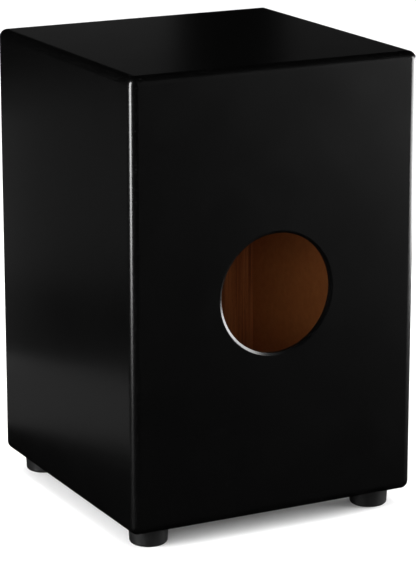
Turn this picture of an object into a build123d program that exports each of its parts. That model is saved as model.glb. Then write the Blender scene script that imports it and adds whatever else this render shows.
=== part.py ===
from build123d import *
import os

# Cajon: a box drum that the player sits on.
# Frame: millimetres, +Z up, origin on the floor under the middle of the box.
# The playing face (the tapa) looks along -Y, and the rear panel with the sound hole along +Y.
# Left is -X and right is +X, as seen by someone who looks at the playing face.

# ---- Body
body_width = 300.0
body_depth = 300.0
body_height = 432.0          # without the feet
edge_radius = 8.0            # roundover on all twelve outer edges
side_thickness = 15.0
seat_thickness = 15.0
base_thickness = 15.0
rear_thickness = 5.0
tapa_thickness = 3.0
side_tongue = 5.0            # how far a side panel is let into the seat and into the base
lip_margin = 1.5             # flat board between the roundover and the edge of the rear panel

# ---- Sound hole, centred on the rear panel
sound_hole_radius = 57.5
sound_hole_bevel = 2.5       # width of the bevel round its outer rim
sound_hole_bevel_depth = 1.5

# ---- Screws that hold the tapa on the front edges of the body
tapa_screw_head_radius = 3.2
tapa_screw_shank_radius = 1.5
tapa_screw_length = 16.0
tapa_screw_corner = 26.0     # from the top and bottom of the body to the end screws of a column
tapa_screws_per_column = 6
tapa_screws_per_row = 4

# ---- Glued cleats in the corners under the seat and on the base
cleat_side = 15.0
cleat_end_gap = 2.0

# ---- Snare beam, a batten behind the tapa on two blocks
beam_height = 20.0
beam_depth = 20.0
beam_drop = 110.0            # from the underside of the seat to the top of the beam
beam_end_gap = 0.3
block_width = 20.0
block_depth = 24.0           # from the beam's front face
block_height = 32.0
beam_screw_head_radius = 4.0
beam_screw_shank_radius = 2.0
beam_screw_length = 36.0

# ---- Snare sets: coiled strands in a strip that is screwed to the beam
strand_radius = 1.2
strand_pitch = 4.4
strands_per_set = 10
strand_length = 96.0         # from the bottom of its socket to its free end
socket_depth = 4.0
strip_wall = 0.3             # steel left in front of and behind a socket
strip_height = 12.0
strip_margin = 4.0           # strip beyond the middle of the outer strand
snare_offset = 68.0          # from the middle of the box to the middle of a set
snare_gap = 0.3              # between the strip and the tapa
strip_screw_head_radius = 2.4
strip_screw_shank_radius = 1.3
strip_screw_length = 14.0
strip_screw_rise = 3.2       # above the lower edge of the strip

# ---- Felt pad between the beam and the tapa
pad_width = 44.0

# ---- Rubber feet
foot_height = 18.0
foot_top_radius = 19.0
foot_taper = 1.0             # how much smaller its radius is at the floor
foot_edge_round = 3.0
foot_top_round = 0.8
foot_margin = 3.0            # flat board between the roundover and a foot
foot_well_radius = 7.0
foot_well_depth = 9.0
washer_radius = 6.5
washer_thickness = 1.2
foot_screw_head_radius = 4.2
foot_screw_head_height = 2.8
foot_screw_head_round = 1.2
foot_screw_shank_radius = 2.2
foot_screw_bite = 11.0       # depth of thread in the base panel

# ---- Clearances
thread_clearance = 0.05      # round a screw's thread in its pilot hole
hole_clearance = 0.2         # round a shank or strand that passes through
head_clearance = 0.1         # round a countersunk head

# ---- Driver recess
recess_share = 1.1           # tip to tip, in head radii
recess_width_share = 0.26
recess_depth_share = 0.42

# ---- Places that follow from the sizes above
half_width = body_width / 2
half_depth = body_depth / 2
rear_lip = edge_radius + lip_margin
body_bottom = foot_height
body_top = foot_height + body_height
body_middle = (body_bottom + body_top) / 2
inner_half_width = half_width - side_thickness
tapa_back = -half_depth + tapa_thickness
rear_inside = half_depth - rear_thickness
floor_level = body_bottom + base_thickness
ceiling_level = body_top - seat_thickness
strip_thickness = 2 * (strand_radius + hole_clearance + strip_wall)
snare_front = tapa_back + snare_gap
beam_front = snare_front + strip_thickness
beam_top = ceiling_level - beam_drop
beam_bottom = beam_top - beam_height
foot_inset = edge_radius + foot_margin + foot_top_radius
foot_bottom_radius = foot_top_radius - foot_taper
foot_x = half_width - foot_inset
foot_y = half_depth - foot_inset
sides = {"left": -1, "right": 1}
foot_places = {
    "front_left": (-foot_x, -foot_y),
    "front_right": (foot_x, -foot_y),
    "rear_left": (-foot_x, foot_y),
    "rear_right": (foot_x, foot_y),
}


def slab(x, y, z):
    """A box between the two ends given for each axis."""
    size = Box(x[1] - x[0], y[1] - y[0], z[1] - z[0], align=(Align.MIN, Align.MIN, Align.MIN))
    return Pos(x[0], y[0], z[0]) * size


def mirrored(span, side):
    """A span along X, moved to the side that is asked for."""
    return (side * span[1], side * span[0]) if side < 0 else span


def group(solids):
    """Separate solids that share one node."""
    return Compound(solids)


# ---- Screws: the head's face is at z = 0 and the shank points down -Z

def driver_recess(head_radius):
    reach = recess_share * head_radius
    width = recess_width_share * head_radius
    depth = recess_depth_share * head_radius
    return Box(reach, width, 2 * depth) + Box(width, reach, 2 * depth)


def countersunk_form(head_radius, shank_radius, length):
    taper = head_radius - shank_radius
    head = Pos(0, 0, -taper / 2) * Cone(shank_radius, head_radius, taper)
    shank = Pos(0, 0, -(taper + length) / 2) * Cylinder(shank_radius, length - taper)
    return head + shank


def countersunk_screw(head_radius, shank_radius, length):
    return countersunk_form(head_radius, shank_radius, length) - driver_recess(head_radius)


def countersunk_hole(head_radius, shank_radius, length):
    """What a countersunk screw needs in the piece that its head holds down."""
    wide_head = head_radius + head_clearance
    return countersunk_form(wide_head, shank_radius + hole_clearance, length)


def pilot_hole(shank_radius, length):
    return Pos(0, 0, -length / 2) * Cylinder(shank_radius + thread_clearance, length)


def pan_screw(head_radius, head_height, head_round, shank_radius, length):
    head = Pos(0, 0, head_height / 2) * Cylinder(head_radius, head_height)
    head = fillet(head.edges().sort_by(Axis.Z)[-1], head_round)
    shank = Pos(0, 0, -length / 2) * Cylinder(shank_radius, length)
    return head + shank - Pos(0, 0, head_height) * driver_recess(head_radius)


# ---- Where the screws of the tapa are, and the turn that points them into the box

into_box = Rot(90, 0, 0)


def spread(start, end, count):
    """Evenly spaced values from start to end."""
    step = (end - start) / (count - 1)
    return [start + step * i for i in range(count)]


def flat_middle(thickness):
    """From an outer face to the middle of the flat that the roundover leaves on a board's edge."""
    return (edge_radius + thickness) / 2


def tapa_screw_places():
    """Along X and Z, the screws of each edge of the tapa."""
    column_x = half_width - flat_middle(side_thickness)
    column_z = spread(body_bottom + tapa_screw_corner, body_top - tapa_screw_corner, tapa_screws_per_column)
    row_x = spread(-column_x, column_x, tapa_screws_per_row + 2)[1:-1]
    return {
        "left": [(-column_x, z) for z in column_z],
        "right": [(column_x, z) for z in column_z],
        "top": [(x, body_top - flat_middle(seat_thickness)) for x in row_x],
        "bottom": [(x, body_bottom + flat_middle(base_thickness)) for x in row_x],
    }


tapa_places = tapa_screw_places()


def at_tapa(form, edge):
    """A form put at each tapa screw of one edge."""
    return [Pos(x, -half_depth, z) * into_box * form for x, z in tapa_places[edge]]


def tapa_pilots(edge):
    """Pilot holes in the board behind one edge of the tapa."""
    return at_tapa(pilot_hole(tapa_screw_shank_radius, tapa_screw_length + hole_clearance), edge)


# ---- Body panels

def outer_form():
    body = slab((-half_width, half_width), (-half_depth, half_depth), (body_bottom, body_top))
    return fillet(body.edges(), edge_radius)


def rear_seat():
    """The rebate in the sides, the seat and the base that the rear panel fills."""
    reach = half_width - rear_lip
    return slab((-reach, reach), (rear_inside, half_depth), (body_bottom + rear_lip, body_top - rear_lip))


def side_span(side):
    return mirrored((inner_half_width, half_width), side)


def side_panel(side, name):
    heights = (floor_level - side_tongue, ceiling_level + side_tongue)
    board = slab(side_span(side), (tapa_back, half_depth), heights)
    return (board & outer_form()) - rear_seat() - tapa_pilots(name)


def tongue_groove(side, heights):
    return slab(side_span(side), (tapa_back, half_depth), heights)


def seat_panel():
    board = slab((-half_width, half_width), (tapa_back, half_depth), (ceiling_level, body_top))
    grooves = [tongue_groove(side, (ceiling_level, ceiling_level + side_tongue)) for side in sides.values()]
    return (board & outer_form()) - grooves - rear_seat() - tapa_pilots("top")


def base_panel():
    board = slab((-half_width, half_width), (tapa_back, half_depth), (body_bottom, floor_level))
    grooves = [tongue_groove(side, (floor_level - side_tongue, floor_level)) for side in sides.values()]
    pilot = Rot(180, 0, 0) * pilot_hole(foot_screw_shank_radius, foot_screw_bite + hole_clearance)
    foot_pilots = [Pos(x, y, body_bottom) * pilot for x, y in foot_places.values()]
    return (board & outer_form()) - grooves - rear_seat() - tapa_pilots("bottom") - foot_pilots


def rear_panel():
    hole = Pos(0, half_depth, body_middle) * Rot(90, 0, 0) * Cylinder(sound_hole_radius, 3 * rear_thickness)
    board = rear_seat() - hole
    rim = board.edges().filter_by(GeomType.CIRCLE).sort_by(Axis.Y)[-1]
    outer_face = board.faces().sort_by(Axis.Y)[-1]
    return chamfer(rim, sound_hole_bevel, sound_hole_bevel_depth, reference=outer_face)


def tapa():
    outline = slab((-half_width, half_width), (-half_depth, tapa_back), (body_bottom, body_top))
    board = outline & outer_form()
    hole = countersunk_hole(tapa_screw_head_radius, tapa_screw_shank_radius, tapa_screw_length)
    return board - [cut for edge in tapa_places for cut in at_tapa(hole, edge)]


# ---- Cleats

def cleat(side, heights):
    inner_edge = inner_half_width - cleat_side
    lengths = (tapa_back + cleat_end_gap, rear_inside - cleat_end_gap)
    return slab(mirrored((inner_edge, inner_half_width), side), lengths, heights)


# ---- Snare beam and its blocks

beam_screw_x = inner_half_width - block_width / 2
beam_middle_y = beam_front + beam_depth / 2


def at_beam_end(form, side):
    return Pos(side * beam_screw_x, beam_middle_y, beam_top) * form


def strip_screw_places(side):
    """Along X and Z, the two screws of one snare strip."""
    reach = strand_pitch * (strands_per_set - 1) / 2
    middle = side * snare_offset
    return [(middle + share * reach, beam_bottom + strip_screw_rise) for share in (-1, 1)]


def at_strip(form, side):
    return [Pos(x, snare_front, z) * into_box * form for x, z in strip_screw_places(side)]


def snare_beam():
    reach = inner_half_width - beam_end_gap
    batten = slab((-reach, reach), (beam_front, beam_front + beam_depth), (beam_bottom, beam_top))
    end_hole = countersunk_hole(beam_screw_head_radius, beam_screw_shank_radius, beam_screw_length)
    strip_pilot = pilot_hole(strip_screw_shank_radius, strip_screw_length + hole_clearance)
    ends = [at_beam_end(end_hole, side) for side in sides.values()]
    pilots = [cut for side in sides.values() for cut in at_strip(strip_pilot, side)]
    return batten - ends - pilots


def beam_block(side):
    across = mirrored((inner_half_width - block_width, inner_half_width), side)
    heights = (beam_bottom - block_height, beam_bottom)
    block = slab(across, (beam_front, beam_front + block_depth), heights)
    return block - at_beam_end(pilot_hole(beam_screw_shank_radius, beam_screw_length + hole_clearance), side)


def beam_screws():
    screw = countersunk_screw(beam_screw_head_radius, beam_screw_shank_radius, beam_screw_length)
    return group([at_beam_end(screw, side) for side in sides.values()])


# ---- Snare sets

strand_y = snare_front + strip_thickness / 2
socket_bottom = beam_bottom + strip_height - socket_depth


def strand_places(side):
    reach = strand_pitch * (strands_per_set - 1) / 2
    middle = side * snare_offset
    return spread(middle - reach, middle + reach, strands_per_set)


def strand_forms(side, radius, length):
    """Upright cylinders that start at the bottom of the strip's sockets."""
    form = Pos(0, strand_y, socket_bottom + length / 2) * Cylinder(radius, length)
    return [Pos(x, 0, 0) * form for x in strand_places(side)]


def snare_strip(side):
    reach = strand_pitch * (strands_per_set - 1) / 2 + strip_margin
    across = (side * snare_offset - reach, side * snare_offset + reach)
    strip = slab(across, (snare_front, beam_front), (beam_bottom, beam_bottom + strip_height))
    sockets = strand_forms(side, strand_radius + hole_clearance, 2 * socket_depth)
    hole = countersunk_hole(strip_screw_head_radius, strip_screw_shank_radius, strip_screw_length)
    return strip - sockets - at_strip(hole, side)


def snare_strands(side):
    return group(strand_forms(side, strand_radius, strand_length))


def strip_screws():
    screw = countersunk_screw(strip_screw_head_radius, strip_screw_shank_radius, strip_screw_length)
    return group([placed for side in sides.values() for placed in at_strip(screw, side)])


def felt_pad():
    return slab((-pad_width / 2, pad_width / 2), (tapa_back, beam_front), (beam_bottom, beam_top))


# ---- Feet

screw_head_level = foot_well_depth - washer_thickness


def foot(place):
    rubber = Pos(0, 0, foot_height / 2) * Cone(foot_bottom_radius, foot_top_radius, foot_height)
    rims = rubber.edges().filter_by(GeomType.CIRCLE).sort_by(Axis.Z)
    rubber = fillet(rims[0], foot_edge_round)
    rubber = fillet(rubber.edges().filter_by(GeomType.CIRCLE).sort_by(Axis.Z)[-1], foot_top_round)
    well = Pos(0, 0, foot_well_depth / 2) * Cylinder(foot_well_radius, foot_well_depth)
    shank_hole = Pos(0, 0, foot_height) * Cylinder(foot_screw_shank_radius + hole_clearance, 2 * foot_height)
    return Pos(place[0], place[1], 0) * (rubber - well - shank_hole)


def foot_washer(place):
    ring = Cylinder(washer_radius, washer_thickness)
    ring -= Cylinder(foot_screw_shank_radius + hole_clearance, washer_thickness)
    return Pos(place[0], place[1], foot_well_depth - washer_thickness / 2) * ring


def foot_screw(place):
    length = foot_height - screw_head_level + foot_screw_bite
    sizes = (foot_screw_head_radius, foot_screw_head_height, foot_screw_head_round, foot_screw_shank_radius)
    return Pos(place[0], place[1], screw_head_level) * Rot(180, 0, 0) * pan_screw(*sizes, length)


# ---- The whole assembly, one entry per node

nodes = {
    "seat_panel": seat_panel(),
    "base_panel": base_panel(),
    "rear_panel": rear_panel(),
    "tapa": tapa(),
    "snare_beam": snare_beam(),
    "beam_screws": beam_screws(),
    "snare_strip_screws": strip_screws(),
    "felt_pad": felt_pad(),
    "foot_washers": group([foot_washer(place) for place in foot_places.values()]),
    "foot_screws": group([foot_screw(place) for place in foot_places.values()]),
}

for name, side in sides.items():
    nodes[f"{name}_side_panel"] = side_panel(side, name)
    nodes[f"seat_cleat_{name}"] = cleat(side, (ceiling_level - cleat_side, ceiling_level))
    nodes[f"base_cleat_{name}"] = cleat(side, (floor_level, floor_level + cleat_side))
    nodes[f"beam_block_{name}"] = beam_block(side)
    nodes[f"snare_strip_{name}"] = snare_strip(side)
    nodes[f"snare_strands_{name}"] = snare_strands(side)

tapa_screw = countersunk_screw(tapa_screw_head_radius, tapa_screw_shank_radius, tapa_screw_length)
for edge in tapa_places:
    nodes[f"tapa_screws_{edge}"] = group(at_tapa(tapa_screw, edge))

for corner, place in foot_places.items():
    nodes[f"foot_{corner}"] = foot(place)

os.makedirs("parts", exist_ok=True)
for name, shape in nodes.items():
    export_step(shape, f"parts/{name}.step")
    print(f"{name}: {len(shape.solids())} solid(s), {shape.volume:.1f} mm3")
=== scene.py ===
# %% [markdown]
# # A cajon: the looks of a black box drum
#
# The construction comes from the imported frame: every board, foot, batten and fixing already has
# its true size and place. This lesson gives each of them a finish, and makes again the few pieces
# whose looks a plain solid can't carry: the screws, the coiled snares and the felt pad.

# %% Load the frame
import math

import bmesh
import bpy
from mathutils import Matrix, Vector, noise


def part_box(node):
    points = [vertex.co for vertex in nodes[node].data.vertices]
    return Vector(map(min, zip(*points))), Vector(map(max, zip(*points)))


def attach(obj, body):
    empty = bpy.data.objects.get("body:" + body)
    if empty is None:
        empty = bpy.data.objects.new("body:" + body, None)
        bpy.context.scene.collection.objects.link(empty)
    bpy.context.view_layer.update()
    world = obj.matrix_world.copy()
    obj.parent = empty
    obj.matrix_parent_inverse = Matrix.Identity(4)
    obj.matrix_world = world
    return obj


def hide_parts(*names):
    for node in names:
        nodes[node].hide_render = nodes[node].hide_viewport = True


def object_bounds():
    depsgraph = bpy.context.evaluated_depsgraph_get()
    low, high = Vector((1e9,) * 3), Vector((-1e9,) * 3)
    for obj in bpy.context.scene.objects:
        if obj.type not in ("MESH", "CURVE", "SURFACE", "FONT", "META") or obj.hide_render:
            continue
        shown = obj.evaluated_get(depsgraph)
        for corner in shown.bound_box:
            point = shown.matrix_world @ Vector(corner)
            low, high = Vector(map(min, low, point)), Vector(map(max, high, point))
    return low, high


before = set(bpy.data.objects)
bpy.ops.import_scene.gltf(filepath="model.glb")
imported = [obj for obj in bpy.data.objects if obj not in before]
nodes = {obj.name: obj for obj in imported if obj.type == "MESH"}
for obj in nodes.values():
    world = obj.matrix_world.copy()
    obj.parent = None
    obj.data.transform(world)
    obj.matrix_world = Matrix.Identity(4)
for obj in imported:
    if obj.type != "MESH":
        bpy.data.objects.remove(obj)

cad_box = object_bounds()
low, high = Vector(cad_box[0]), Vector(cad_box[1])
middle = (low + high) / 2
print("frame:", len(nodes), "nodes,", [round(v, 4) for v in high - low], "m")

# %% [markdown]
# ## Helpers
#
# Colours are written as the hex values that a paint chart or a screen shows. Shaders work in
# linear light, so one function turns them. Another adds a shader or geometry node with its
# settings, its values and its links in one go, which keeps each tree short enough to read.

# %% Helpers for every tree
MM = 0.001
MIX_A, MIX_B, MIX_RESULT = 6, 7, 2       # a Mix node's colour sockets


def linear(hex_colour):
    """An sRGB hex colour as the linear RGBA that shaders use."""
    channels = [int(hex_colour[i:i + 2], 16) / 255 for i in (1, 3, 5)]
    return (*[c / 12.92 if c <= 0.04045 else ((c + 0.055) / 1.055) ** 2.4 for c in channels], 1.0)


def add(tree, kind, values=None, links=None, **settings):
    """A node with its settings, its sockets' values, and its links as socket: (node, output)."""
    made = tree.nodes.new(kind)
    for name, value in settings.items():
        setattr(made, name, value)
    for socket, value in (values or {}).items():
        made.inputs[socket].default_value = value
    for socket, (source, output) in (links or {}).items():
        tree.links.new(source.outputs[output], made.inputs[socket])
    return made


# %% Helpers for materials
def new_material(name):
    """An empty material, its tree, and its place in metres from the object's origin."""
    material = bpy.data.materials.new(name)
    material.use_nodes = True
    tree = material.node_tree
    tree.nodes.clear()
    return material, tree, add(tree, "ShaderNodeTexCoord")


def finish(tree, colour, roughness, bump, **values):
    """The surface of a material: what varies over it comes in as nodes, the rest as values."""
    links = {"Base Color": (colour, MIX_RESULT), "Roughness": (roughness, 0), "Normal": (bump, 0)}
    named = {name.replace("_", " "): value for name, value in values.items()}
    shader = add(tree, "ShaderNodeBsdfPrincipled", named, links)
    add(tree, "ShaderNodeOutputMaterial", links={"Surface": (shader, "BSDF")})


def dress(material, *names):
    """Puts a material on CAD nodes."""
    for name in names:
        data = nodes[name].data
        data.materials.clear()
        data.materials.append(material)
    print(material.name, "on", len(names), "nodes")


# %% [markdown]
# ## The camera
#
# A long lens from behind, a little to one side and a little above. Its place is given round the
# middle of the box, so that it follows the frame.

# %% Camera
camera_azimuth = math.radians(152.7)
camera_elevation = math.radians(14.6)
camera_distance = 2.6132
camera_aim = Vector((-0.0026, 0.0054, -0.0135))

flat = camera_distance * math.cos(camera_elevation)
rise = camera_distance * math.sin(camera_elevation)
camera_place = middle + Vector((flat * math.sin(camera_azimuth), -flat * math.cos(camera_azimuth), rise))
looking = (middle + camera_aim - camera_place).to_track_quat("-Z", "Y")
camera = bpy.data.objects.new("camera", bpy.data.cameras.new("camera"))
camera.data.lens = 171.0
camera.matrix_world = Matrix.LocRotScale(camera_place, looking, None)
bpy.context.scene.collection.objects.link(camera)
bpy.context.scene.camera = camera
print("camera at", [round(v, 3) for v in camera_place])

# %% [markdown]
# ## Black lacquer on fibreboard
#
# The box is medium-density fibreboard. Outside it is sprayed with satin black lacquer over filler:
# the eye gets a deep black, a soft reflection with a faint orange peel and a few grains of dust.
# Inside it is left bare, a warm brown mat of short fibres. One material shows both, because one
# board has both: the inside of the box is measured from the frame, and what bounds it is bare.

# %% The inside of the box
inside_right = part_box("right_side_panel")[0].x
inside_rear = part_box("rear_panel")[0].y
inside_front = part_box("tapa")[1].y
inside_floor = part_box("base_cleat_left")[0].z
inside_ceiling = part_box("seat_cleat_left")[1].z
skin = 0.4 * MM          # how far bare board may lie behind what bounds the inside
paint_edge = 0.02 * MM   # where the lacquer stops, at the inner edge of the sound hole and the tapa
print("inside:", round(2 * inside_right, 4), "wide,", round(inside_rear - inside_front, 4), "deep")


# %% Lacquer
def black_lacquer(tree, place):
    """Colour, roughness and relief of the lacquer: clouds 45 mm across, orange peel 2 mm, dust 1 mm."""
    at = {"Vector": (place, "Object")}
    clouds = add(tree, "ShaderNodeTexNoise", {"Scale": 1 / (45 * MM), "Detail": 2.0}, at)
    peel = add(tree, "ShaderNodeTexNoise", {"Scale": 1 / (2 * MM), "Detail": 1.0}, at)
    grains = add(tree, "ShaderNodeTexNoise", {"Scale": 1 / (1.0 * MM), "Detail": 0.0}, at)
    dust = add(tree, "ShaderNodeMapRange", {"From Min": 0.70, "From Max": 0.82}, {"Value": (grains, 0)})
    blacks = {MIX_A: linear("#010101"), MIX_B: linear("#020202")}
    deep = add(tree, "ShaderNodeMix", blacks, {0: (clouds, 0)}, data_type="RGBA")
    dusty = {MIX_B: linear("#1A1A1A")}
    colour = add(tree, "ShaderNodeMix", dusty, {0: (dust, 0), MIX_A: (deep, MIX_RESULT)}, data_type="RGBA")
    satin = add(tree, "ShaderNodeMapRange", {"To Min": 0.23, "To Max": 0.26}, {"Value": (clouds, 0)})
    return colour, satin, peel


# %% Bare or lacquered
def bare_board(tree, place):
    """1 on the faces that look into the box, 0 outside and on the wall of the sound hole."""
    split = add(tree, "ShaderNodeSeparateXYZ", links={0: (place, "Object")})
    across = add(tree, "ShaderNodeMath", links={0: (split, "X")}, operation="ABSOLUTE")
    bare = add(tree, "ShaderNodeMath", {1: inside_right + skin}, {0: (across, 0)}, operation="LESS_THAN")
    for axis, limit, operation in (
        ("Y", inside_rear + paint_edge, "LESS_THAN"),
        ("Z", inside_floor - skin, "GREATER_THAN"),
        ("Z", inside_ceiling + skin, "LESS_THAN"),
    ):
        side = add(tree, "ShaderNodeMath", {1: limit}, {0: (split, axis)}, operation=operation)
        bare = add(tree, "ShaderNodeMath", links={0: (bare, 0), 1: (side, 0)}, operation="MULTIPLY")
    return bare


# %% Lacquered fibreboard
def lacquered_fibreboard():
    material, tree, place = new_material("black lacquer on fibreboard")
    bare = bare_board(tree, place)
    black, satin, peel = black_lacquer(tree, place)
    at = {"Vector": (place, "Object")}
    fibres = add(tree, "ShaderNodeTexNoise", {"Scale": 1 / (0.9 * MM), "Detail": 3.0}, at)
    mottle = add(tree, "ShaderNodeTexNoise", {"Scale": 1 / (6 * MM), "Detail": 3.0}, at)
    browns = {MIX_A: linear("#864A22"), MIX_B: linear("#C07C45")}
    worn = add(tree, "ShaderNodeMix", {0: 0.5}, {2: (fibres, 0), 3: (mottle, 0)}, data_type="FLOAT")
    brown = add(tree, "ShaderNodeMix", browns, {0: (worn, 0)}, data_type="RGBA")
    both = {0: (bare, 0), MIX_A: (black, MIX_RESULT), MIX_B: (brown, MIX_RESULT)}
    colour = add(tree, "ShaderNodeMix", links=both, data_type="RGBA")
    rough = add(tree, "ShaderNodeMix", {3: 0.9}, {0: (bare, 0), 2: (satin, 0)}, data_type="FLOAT")
    relief = add(tree, "ShaderNodeMix", links={0: (bare, 0), 2: (peel, 0), 3: (fibres, 0)}, data_type="FLOAT")
    depth = add(tree, "ShaderNodeMapRange", {"To Min": 0.004 * MM, "To Max": 0.08 * MM}, {"Value": (bare, 0)})
    bump = add(tree, "ShaderNodeBump", links={"Height": (relief, 0), "Distance": (depth, 0)})
    finish(tree, colour, rough, bump, IOR=1.5)
    return material


boards = ("seat_panel", "base_panel", "rear_panel", "left_side_panel", "right_side_panel")
dress(lacquered_fibreboard(), *boards)

# %% [markdown]
# ## The tapa
#
# The playing face is three-ply veneer, its grain upright as on nearly every cajon, because the
# board bends more easily across it and so speaks sooner. In front it has a clear satin lacquer
# inside a black border that runs on over the rounded edge; behind it is bare. The grain is noise
# stretched along the height: wide bands, 1.4 mm lines, and pores drawn as dark dashes. Real pores
# are 0.1 mm wide, which no picture of a whole drum shows, so these are 0.4 mm.

# %% Straight grain
def straight_grain(tree, place, axis, across, along):
    """Noise of those two sizes, in metres, drawn out along an axis given as 0, 1 or 2."""
    scale = [1 / across] * 3
    scale[axis] = 1 / along
    run = add(tree, "ShaderNodeMapping", {"Scale": scale}, {"Vector": (place, "Object")})
    return add(tree, "ShaderNodeTexNoise", {"Scale": 1.0, "Detail": 2.0}, {"Vector": (run, 0)})


def veneer(tree, place, colours):
    """Colour and relief of upright veneer between two colours, with pores darker than both."""
    bands = straight_grain(tree, place, 2, 16 * MM, 700 * MM)
    lines = straight_grain(tree, place, 2, 1.4 * MM, 130 * MM)
    pores = straight_grain(tree, place, 2, 0.4 * MM, 7 * MM)
    both = add(tree, "ShaderNodeMix", {0: 0.6}, {2: (bands, 0), 3: (lines, 0)}, data_type="FLOAT")
    share = add(tree, "ShaderNodeMapRange", {"From Min": 0.33, "From Max": 0.67}, {"Value": (both, 0)})
    tone = add(tree, "ShaderNodeMix", dict(zip((MIX_A, MIX_B), colours)), {0: (share, 0)}, data_type="RGBA")
    open_pore = {"From Min": 0.60, "From Max": 0.74, "To Max": 0.55}
    pore = add(tree, "ShaderNodeMapRange", open_pore, {"Value": (pores, 0)})
    dark = {MIX_B: linear("#2A170B")}
    colour = add(tree, "ShaderNodeMix", dark, {0: (pore, 0), MIX_A: (tone, MIX_RESULT)}, data_type="RGBA")
    return colour, lines


# %% The black border
border = 16 * MM
border_corner = 5 * MM


def outside_border(tree, split):
    """0 on the clear field in front, 1 on the border, from the distance to a rounded rectangle."""
    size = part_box("tapa")[1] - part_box("tapa")[0]
    rise = add(tree, "ShaderNodeMath", {1: middle_height}, {0: (split, "Z")}, operation="SUBTRACT")
    reach = []
    for source, output, half in ((split, "X", size.x / 2), (rise, 0, size.z / 2)):
        far = add(tree, "ShaderNodeMath", links={0: (source, output)}, operation="ABSOLUTE")
        past = {1: half - border - border_corner}
        over = add(tree, "ShaderNodeMath", past, {0: (far, 0)}, operation="SUBTRACT")
        reach.append(add(tree, "ShaderNodeMath", {1: 0.0}, {0: (over, 0)}, operation="MAXIMUM"))
    corner = add(tree, "ShaderNodeCombineXYZ", links={0: (reach[0], 0), 1: (reach[1], 0)})
    far = add(tree, "ShaderNodeVectorMath", links={0: (corner, 0)}, operation="LENGTH")
    edge = {"From Min": border_corner - 0.1 * MM, "From Max": border_corner + 0.1 * MM}
    return add(tree, "ShaderNodeMapRange", edge, {"Value": (far, "Value")})


middle_height = (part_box("tapa")[0].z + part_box("tapa")[1].z) / 2


# %% Veneer in clear lacquer and black
def tapa_plywood():
    material, tree, place = new_material("lacquered plywood of the tapa")
    split = add(tree, "ShaderNodeSeparateXYZ", links={0: (place, "Object")})
    inside = bare_board(tree, place)
    behind = {1: inside_front - paint_edge}
    back = add(tree, "ShaderNodeMath", behind, {0: (split, "Y")}, operation="GREATER_THAN")
    bare = add(tree, "ShaderNodeMath", links={0: (back, 0), 1: (inside, 0)}, operation="MULTIPLY")
    lacquered = add(tree, "ShaderNodeMath", {0: 1.0}, {1: (bare, 0)}, operation="SUBTRACT")
    rim = outside_border(tree, split)
    edge = add(tree, "ShaderNodeMath", links={0: (rim, 0), 1: (lacquered, 0)}, operation="MULTIPLY")
    black, satin, peel = black_lacquer(tree, place)
    front, lines = veneer(tree, place, (linear("#6F3F1E"), linear("#9C6233")))
    back, _ = veneer(tree, place, (linear("#6C3518"), linear("#C27A46")))
    faces = {0: (bare, 0), MIX_A: (front, MIX_RESULT), MIX_B: (back, MIX_RESULT)}
    wood = add(tree, "ShaderNodeMix", links=faces, data_type="RGBA")
    parts = {0: (edge, 0), MIX_A: (wood, MIX_RESULT), MIX_B: (black, MIX_RESULT)}
    colour = add(tree, "ShaderNodeMix", links=parts, data_type="RGBA")
    gloss = add(tree, "ShaderNodeMix", {2: 0.36}, {0: (edge, 0), 3: (satin, 0)}, data_type="FLOAT")
    rough = add(tree, "ShaderNodeMix", {3: 0.8}, {0: (bare, 0), 2: (gloss, 0)}, data_type="FLOAT")
    relief = add(tree, "ShaderNodeMix", links={0: (edge, 0), 2: (lines, 0), 3: (peel, 0)}, data_type="FLOAT")
    bump = add(tree, "ShaderNodeBump", {"Distance": 0.02 * MM}, {"Height": (relief, 0)})
    finish(tree, colour, rough, bump, IOR=1.5)
    return material


dress(tapa_plywood(), "tapa")

# %% [markdown]
# ## Pine battens
#
# The cleats, the snare beam and its blocks are planed pine, bare. What the eye gets is pale
# early wood with narrow orange late wood between it, running along each batten. One function
# turns the grain with the batten, since a cleat runs back, the beam across and a block upright.

# %% Planed pine
def planed_pine(name, axis):
    material, tree, place = new_material(name)
    rings = straight_grain(tree, place, axis, 2.6 * MM, 260 * MM)
    hairs = straight_grain(tree, place, axis, 0.5 * MM, 14 * MM)
    late = {"From Min": 0.42, "From Max": 0.60}
    wood = add(tree, "ShaderNodeMapRange", late, {"Value": (rings, 0)}, interpolation_type="SMOOTHSTEP")
    tones = {MIX_A: linear("#DDB987"), MIX_B: linear("#B57E47")}
    tone = add(tree, "ShaderNodeMix", tones, {0: (wood, 0)}, data_type="RGBA")
    thin = {"From Min": 0.55, "From Max": 0.8, "To Max": 0.4}
    hair = add(tree, "ShaderNodeMapRange", thin, {"Value": (hairs, 0)})
    streak = {MIX_B: linear("#8F6236")}
    colour = add(tree, "ShaderNodeMix", streak, {0: (hair, 0), MIX_A: (tone, MIX_RESULT)}, data_type="RGBA")
    rough = add(tree, "ShaderNodeMapRange", {"To Min": 0.55, "To Max": 0.72}, {"Value": (hairs, 0)})
    bump = add(tree, "ShaderNodeBump", {"Distance": 0.05 * MM}, {"Height": (rings, 0)})
    finish(tree, colour, rough, bump, IOR=1.5)
    return material


cleats = ("seat_cleat_left", "seat_cleat_right", "base_cleat_left", "base_cleat_right")
dress(planed_pine("planed pine cleat", 1), *cleats)
dress(planed_pine("planed pine beam", 0), "snare_beam")
dress(planed_pine("planed pine block", 2), "beam_block_left", "beam_block_right")

# %% [markdown]
# ## Rubber feet
#
# Black moulded rubber, satin, with the fine grain of a spark-eroded mould. Where a foot meets the
# floor its rounded edge picks up dust, which greys it; the mould leaves a thin parting line above.

# %% Moulded rubber
parting_height = 3.6 * MM
dust_height = 2.0 * MM


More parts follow.
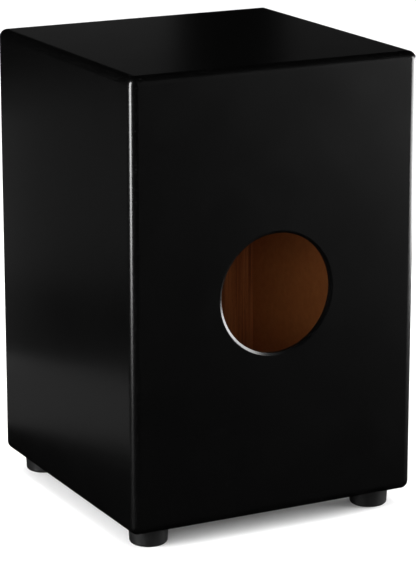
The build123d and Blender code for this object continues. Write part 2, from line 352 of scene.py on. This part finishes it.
def moulded_rubber():
    material, tree, place = new_material("moulded black rubber")
    at = {"Vector": (place, "Object")}
    grit = add(tree, "ShaderNodeTexNoise", {"Scale": 1 / (0.5 * MM), "Detail": 2.0}, at)
    patches = add(tree, "ShaderNodeTexNoise", {"Scale": 1 / (7 * MM), "Detail": 3.0}, at)
    split = add(tree, "ShaderNodeSeparateXYZ", links={0: (place, "Object")})
    worn = {"From Min": dust_height, "From Max": 0.0, "To Max": 0.5}
    lower = add(tree, "ShaderNodeMapRange", worn, {"Value": (split, "Z")})
    dusty = add(tree, "ShaderNodeMath", links={0: (lower, 0), 1: (patches, 0)}, operation="MULTIPLY")
    blacks = {MIX_A: linear("#0B0B0B"), MIX_B: linear("#131313")}
    black = add(tree, "ShaderNodeMix", blacks, {0: (patches, 0)}, data_type="RGBA")
    greyed = {MIX_B: linear("#5B5853")}
    colour = add(tree, "ShaderNodeMix", greyed, {0: (dusty, 0), MIX_A: (black, MIX_RESULT)}, data_type="RGBA")
    rough = add(tree, "ShaderNodeMapRange", {"To Min": 0.34, "To Max": 0.46}, {"Value": (patches, 0)})
    line = {1: parting_height, 2: 0.12 * MM}
    parting = add(tree, "ShaderNodeMath", line, {0: (split, "Z")}, operation="COMPARE")
    relief = add(tree, "ShaderNodeMath", {1: 0.5}, {0: (grit, 0), 2: (parting, 0)}, operation="MULTIPLY_ADD")
    bump = add(tree, "ShaderNodeBump", {"Distance": 0.03 * MM}, {"Height": (relief, 0)})
    finish(tree, colour, rough, bump, IOR=1.52)
    return material


feet = ("foot_front_left", "foot_front_right", "foot_rear_left", "foot_rear_right")
dress(moulded_rubber(), *feet)

# %% [markdown]
# ## Zinc plate
#
# The washers and the screws of the feet, the beam and the snares are zinc-plated steel: a cool
# grey metal, slightly uneven, with a faint warm cast where the passivation is thicker.

# %% Zinc-plated steel
def zinc_plate():
    material, tree, place = new_material("zinc-plated steel")
    at = {"Vector": (place, "Object")}
    patches = add(tree, "ShaderNodeTexNoise", {"Scale": 1 / (2.5 * MM), "Detail": 2.0}, at)
    grains = add(tree, "ShaderNodeTexNoise", {"Scale": 1 / (0.3 * MM), "Detail": 1.0}, at)
    greys = {MIX_A: linear("#B4B9BD"), MIX_B: linear("#C2BEB2")}
    colour = add(tree, "ShaderNodeMix", greys, {0: (patches, 0)}, data_type="RGBA")
    rough = add(tree, "ShaderNodeMapRange", {"To Min": 0.24, "To Max": 0.42}, {"Value": (patches, 0)})
    bump = add(tree, "ShaderNodeBump", {"Distance": 0.01 * MM}, {"Height": (grains, 0)})
    finish(tree, colour, rough, bump, Metallic=1.0)
    return material


plated = ("beam_screws", "snare_strip_screws", "foot_washers", "foot_screws")
dress(zinc_plate(), *plated)

# %% [markdown]
# ## Pieces that repeat
#
# Screws and snare strands repeat a shape, so geometry trees make them. Each tree is evaluated once
# on a throwaway object and its result kept as a plain mesh, since an exported model keeps no
# instances and no modifiers. The trees' sizes come in as named inputs.

# %% From a geometry tree to a plain mesh
def new_geometry_tree(name, inputs):
    """A geometry tree with those inputs, given as name: kind of socket, and its two end nodes."""
    tree = bpy.data.node_groups.new(name, "GeometryNodeTree")
    for title, kind in inputs.items():
        tree.interface.new_socket(name=title, in_out="INPUT", socket_type=kind)
    tree.interface.new_socket(name="Geometry", in_out="OUTPUT", socket_type="NodeSocketGeometry")
    return tree, add(tree, "NodeGroupInput")


def close(tree, source, entry):
    """Ends a tree: what it made becomes real and dressed in the tree's Material input."""
    real = add(tree, "GeometryNodeRealizeInstances", links={0: (source, 0)})
    coat = {"Geometry": (real, 0), "Material": (entry, "Material")}
    coated = add(tree, "GeometryNodeSetMaterial", links=coat)
    add(tree, "NodeGroupOutput", links={0: (coated, 0)})


def put_in_scene(name, mesh):
    piece = bpy.data.objects.new(name, mesh)
    bpy.context.scene.collection.objects.link(piece)
    return piece


def plain_mesh(source, name):
    """A source object with its modifiers applied, as a new piece; the source is removed."""
    shown = source.evaluated_get(bpy.context.evaluated_depsgraph_get())
    piece = put_in_scene(name, bpy.data.meshes.new_from_object(shown))
    bpy.data.objects.remove(source)
    return piece


def grow(tree, name, values, points=()):
    """Sets the tree's inputs by their identifiers on an object of those points, then applies it."""
    mesh = bpy.data.meshes.new(name)
    mesh.from_pydata(points, [], [])
    source = put_in_scene(name + " source", mesh)
    modifier = source.modifiers.new(name, "NODES")
    for socket in tree.interface.items_tree:
        if socket.in_out == "INPUT" and socket.name in values:
            values[socket.identifier] = values.pop(socket.name)
    modifier.node_group = tree
    for identifier, value in values.items():
        modifier[identifier] = value
    return plain_mesh(source, name)


# %% Where the solids of a node are
def solids(name):
    """Lowest and highest corner of each separate solid of a CAD node."""
    form = bmesh.new()
    form.from_mesh(nodes[name].data)
    bmesh.ops.remove_doubles(form, verts=form.verts, dist=0.001 * MM)
    waiting, found = set(form.verts), []
    while waiting:
        edge = {waiting.pop()}
        solid = set(edge)
        while edge:
            beside = {e.other_vert(v) for v in edge for e in v.link_edges}
            edge = beside & waiting
            waiting -= edge
            solid |= edge
        corners = [[f(v.co[i] for v in solid) for i in range(3)] for f in (min, max)]
        found.append((Vector(corners[0]), Vector(corners[1])))
    form.free()
    return found


# %% [markdown]
# ## Screws of the tapa
#
# Countersunk wood screws in black phosphated steel: a dark, finely crystalline coat that barely
# shines. One screw is turned from its profile, its cross recess is cut by two tapered wedges, and
# a tree sets it at every place with its own turn, as a screwdriver leaves them.

# %% One screw
screw_head = 3.2 * MM                 # radius
screw_shank = 1.5 * MM                # radius
screw_edge = 0.25 * MM                # height of the rim round the head
screw_cone = 2 * MM                   # depth of the cone below the head
screw_tip = 0.3 * MM                  # radius of its blunt end
screw_point = 2 * MM                  # length of the point
recess_size = Vector((3.7 * MM, 0.85 * MM, 2.4 * MM))
recess_taper = 0.45                   # how wide its bottom is, as a share of its top


def turned(profile, steps=40):
    """A closed form turned round Z from (radius, height) pairs that start and end on the axis."""
    form = bmesh.new()
    ring = [form.verts.new((r, 0, z)) for r, z in profile]
    lines = [form.edges.new(pair) for pair in zip(ring, ring[1:])]
    bmesh.ops.spin(form, geom=ring + lines, cent=(0, 0, 0), axis=(0, 0, 1), angle=math.tau, steps=steps)
    bmesh.ops.remove_doubles(form, verts=form.verts, dist=0.002 * MM)
    bmesh.ops.recalc_face_normals(form, faces=form.faces)
    return form


def wedge(turn):
    """One bar of the cross recess, narrower at its bottom."""
    form = bmesh.new()
    bmesh.ops.create_cube(form, size=1.0)
    for vert in form.verts:
        share = 1.0 if vert.co.z > 0 else recess_taper
        vert.co = Vector((vert.co.x * share, vert.co.y * share, vert.co.z)) * recess_size
    bmesh.ops.rotate(form, verts=form.verts, matrix=Matrix.Rotation(turn, 3, "Z"))
    return form


def as_mesh(form, name):
    mesh = bpy.data.meshes.new(name)
    form.to_mesh(mesh)
    form.free()
    return mesh


def cross_screw(length):
    """A countersunk screw that points down from the top of its head at height 0."""
    profile = [(0, 0), (screw_head - screw_edge, 0), (screw_head - 0.3 * screw_edge, -0.3 * screw_edge),
               (screw_head, -screw_edge), (screw_shank, -screw_cone),
               (screw_shank, -length + screw_point), (screw_tip, -length), (0, -length)]
    source = put_in_scene("screw source", as_mesh(turned(profile), "screw"))
    bars = [put_in_scene("recess", as_mesh(wedge(turn), "recess")) for turn in (0, math.pi / 2)]
    for bar in bars:
        source.modifiers.new("recess", "BOOLEAN").object = bar
    screw = plain_mesh(source, "screw")
    for bar in bars:
        bpy.data.objects.remove(bar)
    return screw


# %% Phosphated steel
def phosphated_steel():
    material, tree, place = new_material("black phosphated steel")
    at = {"Vector": (place, "Object")}
    crystals = add(tree, "ShaderNodeTexNoise", {"Scale": 1 / (0.25 * MM), "Detail": 2.0}, at)
    blacks = {MIX_A: linear("#2B2B2C"), MIX_B: linear("#474644")}
    colour = add(tree, "ShaderNodeMix", blacks, {0: (crystals, 0)}, data_type="RGBA")
    rough = add(tree, "ShaderNodeMapRange", {"To Min": 0.38, "To Max": 0.55}, {"Value": (crystals, 0)})
    bump = add(tree, "ShaderNodeBump", {"Distance": 0.02 * MM}, {"Height": (crystals, 0)})
    finish(tree, colour, rough, bump, Metallic=0.5)
    return material


# %% A tree that sets the screws
screw_inputs = {"Places": "NodeSocketGeometry", "Screw": "NodeSocketObject", "Lean": "NodeSocketRotation",
                "Seed": "NodeSocketInt", "Material": "NodeSocketMaterial"}
screw_tree, entry = new_geometry_tree("screws at places", screw_inputs)
shape = add(screw_tree, "GeometryNodeObjectInfo", links={"Object": (entry, "Screw")})
turn = add(screw_tree, "FunctionNodeRandomValue", {1: (0, 0, math.tau)}, {"Seed": (entry, "Seed")},
           data_type="FLOAT_VECTOR")
at_places = {"Points": (entry, "Places"), "Instance": (shape, "Geometry"), "Rotation": (entry, "Lean")}
spots = add(screw_tree, "GeometryNodeInstanceOnPoints", links=at_places)
turned_spots = add(screw_tree, "GeometryNodeRotateInstances", {"Local Space": True},
                   {"Instances": (spots, 0), "Rotation": (turn, 0)})
close(screw_tree, turned_spots, entry)

# %% The screws of the tapa
tapa_screws = ("tapa_screws_left", "tapa_screws_right", "tapa_screws_top", "tapa_screws_bottom")
screw_coat = phosphated_steel()
screw_length = (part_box("tapa_screws_top")[1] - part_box("tapa_screws_top")[0]).y
one_screw = cross_screw(screw_length)
for seed, name in enumerate(tapa_screws):
    places = [((a.x + b.x) / 2, a.y, (a.z + b.z) / 2) for a, b in solids(name)]
    values = {"Screw": one_screw, "Lean": (math.pi / 2, 0, 0), "Seed": seed, "Material": screw_coat}
    piece = grow(screw_tree, name + "_phosphated", values, places)
    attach(piece, "root")
    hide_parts(name)
    print(piece.name, len(places), "screws,", len(piece.data.polygons), "faces")
bpy.data.objects.remove(one_screw)

# %% [markdown]
# ## Snares
#
# Two sets of coiled steel wire stand behind the tapa and buzz against it. Each strand is a coil
# of 0.5 mm wire, 2.4 mm across, so the tree draws a spiral, gives it the thickness of the wire
# and repeats it along the strip. A real coil is wound closer; at 1.6 mm a turn it looks the same
# with fewer faces. The strip that holds the sockets is brushed, plated steel.

# %% Bright wire and brushed strip
def snare_steel(name, along):
    """Drawn or brushed steel: fine lines along X of that length, in metres."""
    material, tree, place = new_material(name)
    lines = straight_grain(tree, place, 0, 0.25 * MM, along)
    greys = {MIX_A: linear("#A9AAAA"), MIX_B: linear("#D2D2D0")}
    colour = add(tree, "ShaderNodeMix", greys, {0: (lines, 0)}, data_type="RGBA")
    rough = add(tree, "ShaderNodeMapRange", {"To Min": 0.18, "To Max": 0.36}, {"Value": (lines, 0)})
    bump = add(tree, "ShaderNodeBump", {"Distance": 0.01 * MM}, {"Height": (lines, 0)})
    finish(tree, colour, rough, bump, Metallic=1.0)
    return material


dress(snare_steel("brushed steel strip", 18 * MM), "snare_strip_left", "snare_strip_right")

# %% A tree that winds the snares
snare_inputs = {"Coil Radius": "NodeSocketFloat", "Wire Radius": "NodeSocketFloat",
                "Turns": "NodeSocketFloat", "Length": "NodeSocketFloat", "Strands": "NodeSocketInt",
                "First": "NodeSocketVector", "Step": "NodeSocketVector", "Material": "NodeSocketMaterial"}
snare_tree, entry = new_geometry_tree("coiled snares", snare_inputs)
ends = {"Start Radius": (entry, "Coil Radius"), "End Radius": (entry, "Coil Radius")}
coil = add(snare_tree, "GeometryNodeCurveSpiral", {"Resolution": 12},
           ends | {"Rotations": (entry, "Turns"), "Height": (entry, "Length")})
wire = add(snare_tree, "GeometryNodeCurvePrimitiveCircle", {"Resolution": 6},
           {"Radius": (entry, "Wire Radius")})
strand = add(snare_tree, "GeometryNodeCurveToMesh", {"Fill Caps": True},
             {"Curve": (coil, 0), "Profile Curve": (wire, 0)})
row = add(snare_tree, "GeometryNodeMeshLine",
          links={"Count": (entry, "Strands"), "Start Location": (entry, "First"), "Offset": (entry, "Step")})
strands = add(snare_tree, "GeometryNodeInstanceOnPoints", links={"Points": (row, 0), "Instance": (strand, 0)})
close(snare_tree, strands, entry)

# %% Both sets
wire_radius = 0.25 * MM
coil_pitch = 1.6 * MM
wire_steel = snare_steel("bright drawn wire", 3 * MM)
for side in ("left", "right"):
    rods = sorted(solids("snare_strands_" + side), key=lambda rod: rod[0].x)
    (a, b), (after, _) = rods[0], rods[1]
    radius = (b.x - a.x) / 2
    length = b.z - a.z - 2 * wire_radius
    first = Vector(((a.x + b.x) / 2, (a.y + b.y) / 2, a.z + wire_radius))
    values = {"Coil Radius": radius - wire_radius, "Wire Radius": wire_radius, "Turns": length / coil_pitch,
              "Length": length, "Strands": len(rods), "First": first, "Step": (after.x - a.x, 0, 0),
              "Material": wire_steel}
    piece = grow(snare_tree, "snares_" + side, values)
    piece.data.shade_smooth()
    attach(piece, "root")
    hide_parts("snare_strands_" + side)
    print(piece.name, len(rods), "strands,", len(piece.data.polygons), "faces")

# %% [markdown]
# ## The felt pad
#
# A strip of dense wool felt between the beam and the tapa keeps the beam from rattling. Cut felt
# has soft edges and a slightly uneven face, so the pad is a finely divided block whose edges are
# rounded by one rule and whose faces are pressed in here and there; the back stays flat on the beam.

# %% Felt
felt_round = 1.1 * MM                 # radius of its edges
felt_hollow = 0.18 * MM               # how deep its faces are pressed in
felt_cuts = 23                        # along each edge of the block


def wool_felt():
    material, tree, place = new_material("dense wool felt")
    at = {"Vector": (place, "Object")}
    fibres = add(tree, "ShaderNodeTexNoise", {"Scale": 1 / (0.6 * MM), "Detail": 4.0, "Distortion": 1.5}, at)
    tufts = add(tree, "ShaderNodeTexNoise", {"Scale": 1 / (3 * MM), "Detail": 2.0}, at)
    both = add(tree, "ShaderNodeMix", {0: 0.5}, {2: (fibres, 0), 3: (tufts, 0)}, data_type="FLOAT")
    greys = {MIX_A: linear("#2C2C2E"), MIX_B: linear("#5A5A5E")}
    colour = add(tree, "ShaderNodeMix", greys, {0: (both, 0)}, data_type="RGBA")
    rough = add(tree, "ShaderNodeMapRange", {"To Min": 0.85, "To Max": 1.0}, {"Value": (fibres, 0)})
    bump = add(tree, "ShaderNodeBump", {"Distance": 0.25 * MM}, {"Height": (fibres, 0)})
    finish(tree, colour, rough, bump, Sheen_Weight=0.35, Sheen_Roughness=0.6)
    return material


def felt_form(corner, far_corner):
    """A block between two corners with rounded edges and a slightly uneven face."""
    centre, half = (corner + far_corner) / 2, (far_corner - corner) / 2
    core = half - Vector((felt_round,) * 3)
    form = bmesh.new()
    bmesh.ops.create_cube(form, size=2.0)
    bmesh.ops.subdivide_edges(form, edges=form.edges, cuts=felt_cuts, use_grid_fill=True)
    for vert in form.verts:
        spread = Vector([math.sin(c * math.pi / 2) * h for c, h in zip(vert.co, half)])
        inner = Vector([max(-c, min(c, s)) for c, s in zip(core, spread)])
        rounded = inner + (spread - inner).normalized() * felt_round
        pressed = 0.5 + 0.5 * noise.noise((centre + rounded) / (5 * MM))
        free = (half.y - rounded.y) / (2 * half.y)
        vert.co = centre + rounded - (spread - inner).normalized() * felt_hollow * pressed * free
    bmesh.ops.recalc_face_normals(form, faces=form.faces)
    return form


felt_pad = put_in_scene("wool_felt_pad", as_mesh(felt_form(*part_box("felt_pad")), "felt pad"))
felt_pad.data.materials.append(wool_felt())
felt_pad.data.shade_smooth()
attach(felt_pad, "root")
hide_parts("felt_pad")
print(felt_pad.name, len(felt_pad.data.polygons), "faces")

# %% [markdown]
# ## The stage
#
# A pale floor that runs out to a pale background. Black lacquer is a mirror for its studio, so the
# floor and the sky are kept out of its reflections, as black flags do round a real set, and the
# soft boxes alone draw the faces and the edges. A box that a flat face mirrors straight to the
# camera needs only a few hundredths of a watt; one that only a rounded edge catches needs tens.

# %% Floor
def pale_floor():
    material, tree, place = new_material("pale paper floor")
    fibre = add(tree, "ShaderNodeTexNoise", {"Scale": 1 / (3 * MM)}, {"Vector": (place, "Object")})
    whites = {MIX_A: linear("#F4F4F4"), MIX_B: linear("#F8F8F8")}
    white = add(tree, "ShaderNodeMix", whites, {0: (fibre, 0)}, data_type="RGBA")
    shader = add(tree, "ShaderNodeBsdfPrincipled", {"Roughness": 0.9}, {"Base Color": (white, MIX_RESULT)})
    add(tree, "ShaderNodeOutputMaterial", links={"Surface": (shader, "BSDF")})
    return material


floor_reach = 30.0
floor_mesh = bpy.data.meshes.new("floor")
corners = [(x * floor_reach, y * floor_reach, 0) for x, y in ((-1, -1), (1, -1), (1, 1), (-1, 1))]
floor_mesh.from_pydata(corners, [], [(0, 1, 2, 3)])
floor_mesh.materials.append(pale_floor())
floor = put_in_scene("floor", floor_mesh)
floor.visible_glossy = False

# %% Sky
world = bpy.data.worlds.new("studio")
world.use_nodes = True
sky = world.node_tree
sky.nodes.clear()
ray = add(sky, "ShaderNodeLightPath")
lit, mirrored_sky = 0.9, 0.002
bounce = {MIX_A: (lit, lit, lit, 1), MIX_B: (mirrored_sky, mirrored_sky, mirrored_sky, 1)}
unseen = add(sky, "ShaderNodeMix", bounce, {0: (ray, "Is Glossy Ray")}, data_type="RGBA")
seen = add(sky, "ShaderNodeMix", {MIX_B: (1, 1, 1, 1)},
           {0: (ray, "Is Camera Ray"), MIX_A: (unseen, MIX_RESULT)}, data_type="RGBA")
background = add(sky, "ShaderNodeBackground", links={"Color": (seen, MIX_RESULT)})
add(sky, "ShaderNodeOutputWorld", links={"Surface": (background, 0)})
bpy.context.scene.world = world


# %% Soft boxes
def soft_box(name, azimuth, distance, height, size, watts, aim_height=None, mirrored=True):
    """A rectangular lamp that faces the axis of the drum; azimuth is in degrees from +X."""
    lamp = bpy.data.lights.new(name, "AREA")
    lamp.shape = "RECTANGLE"
    lamp.size, lamp.size_y = size
    lamp.energy = watts
    turn = math.radians(azimuth)
    place = Vector((distance * math.cos(turn), distance * math.sin(turn), height))
    holder = bpy.data.objects.new(name, lamp)
    aim = Vector((0, 0, height if aim_height is None else aim_height)) - place
    holder.matrix_world = Matrix.LocRotScale(place, aim.to_track_quat("-Z", "Y"), None)
    holder.visible_camera = False
    holder.visible_glossy = mirrored
    bpy.context.scene.collection.objects.link(holder)


# The edges and the rear panel:
soft_box("near edge box", 12, 1.5, 0.60, (0.5, 1.3), 44)
soft_box("rear panel box", 147, 1.6, 0.5, (0.7, 1.0), 26)
soft_box("far edge box", 176, 1.2, 0.22, (0.8, 0.44), 14)
# What the seat and the side panel mirror:
soft_box("seat box left", 253, 2.0, 0.65, (0.63, 0.4), 0.055)
soft_box("seat box right", 233, 2.0, 0.65, (0.4, 0.4), 0.022)
soft_box("side panel box", -60, 0.9, 0.14, (0.7, 0.26), 0.028)
soft_box("side panel card", -59.6, 0.533, 0.15, (0.05, 0.3), 0.005)
soft_box("side panel strip", -32, 0.30, 0.045, (0.35, 0.08), 0.012, aim_height=0.045)
# Plain light on the bare inside and on the tapa, out of sight of the lacquer:
soft_box("inside box", 56, 2.2, 0.8, (1.2, 0.5), 13, aim_height=0.25, mirrored=False)
soft_box("tapa box", 270, 2.0, 2.6, (2.0, 2.0), 62, aim_height=0.2, mirrored=False)
bpy.context.scene.view_settings.view_transform = "Standard"
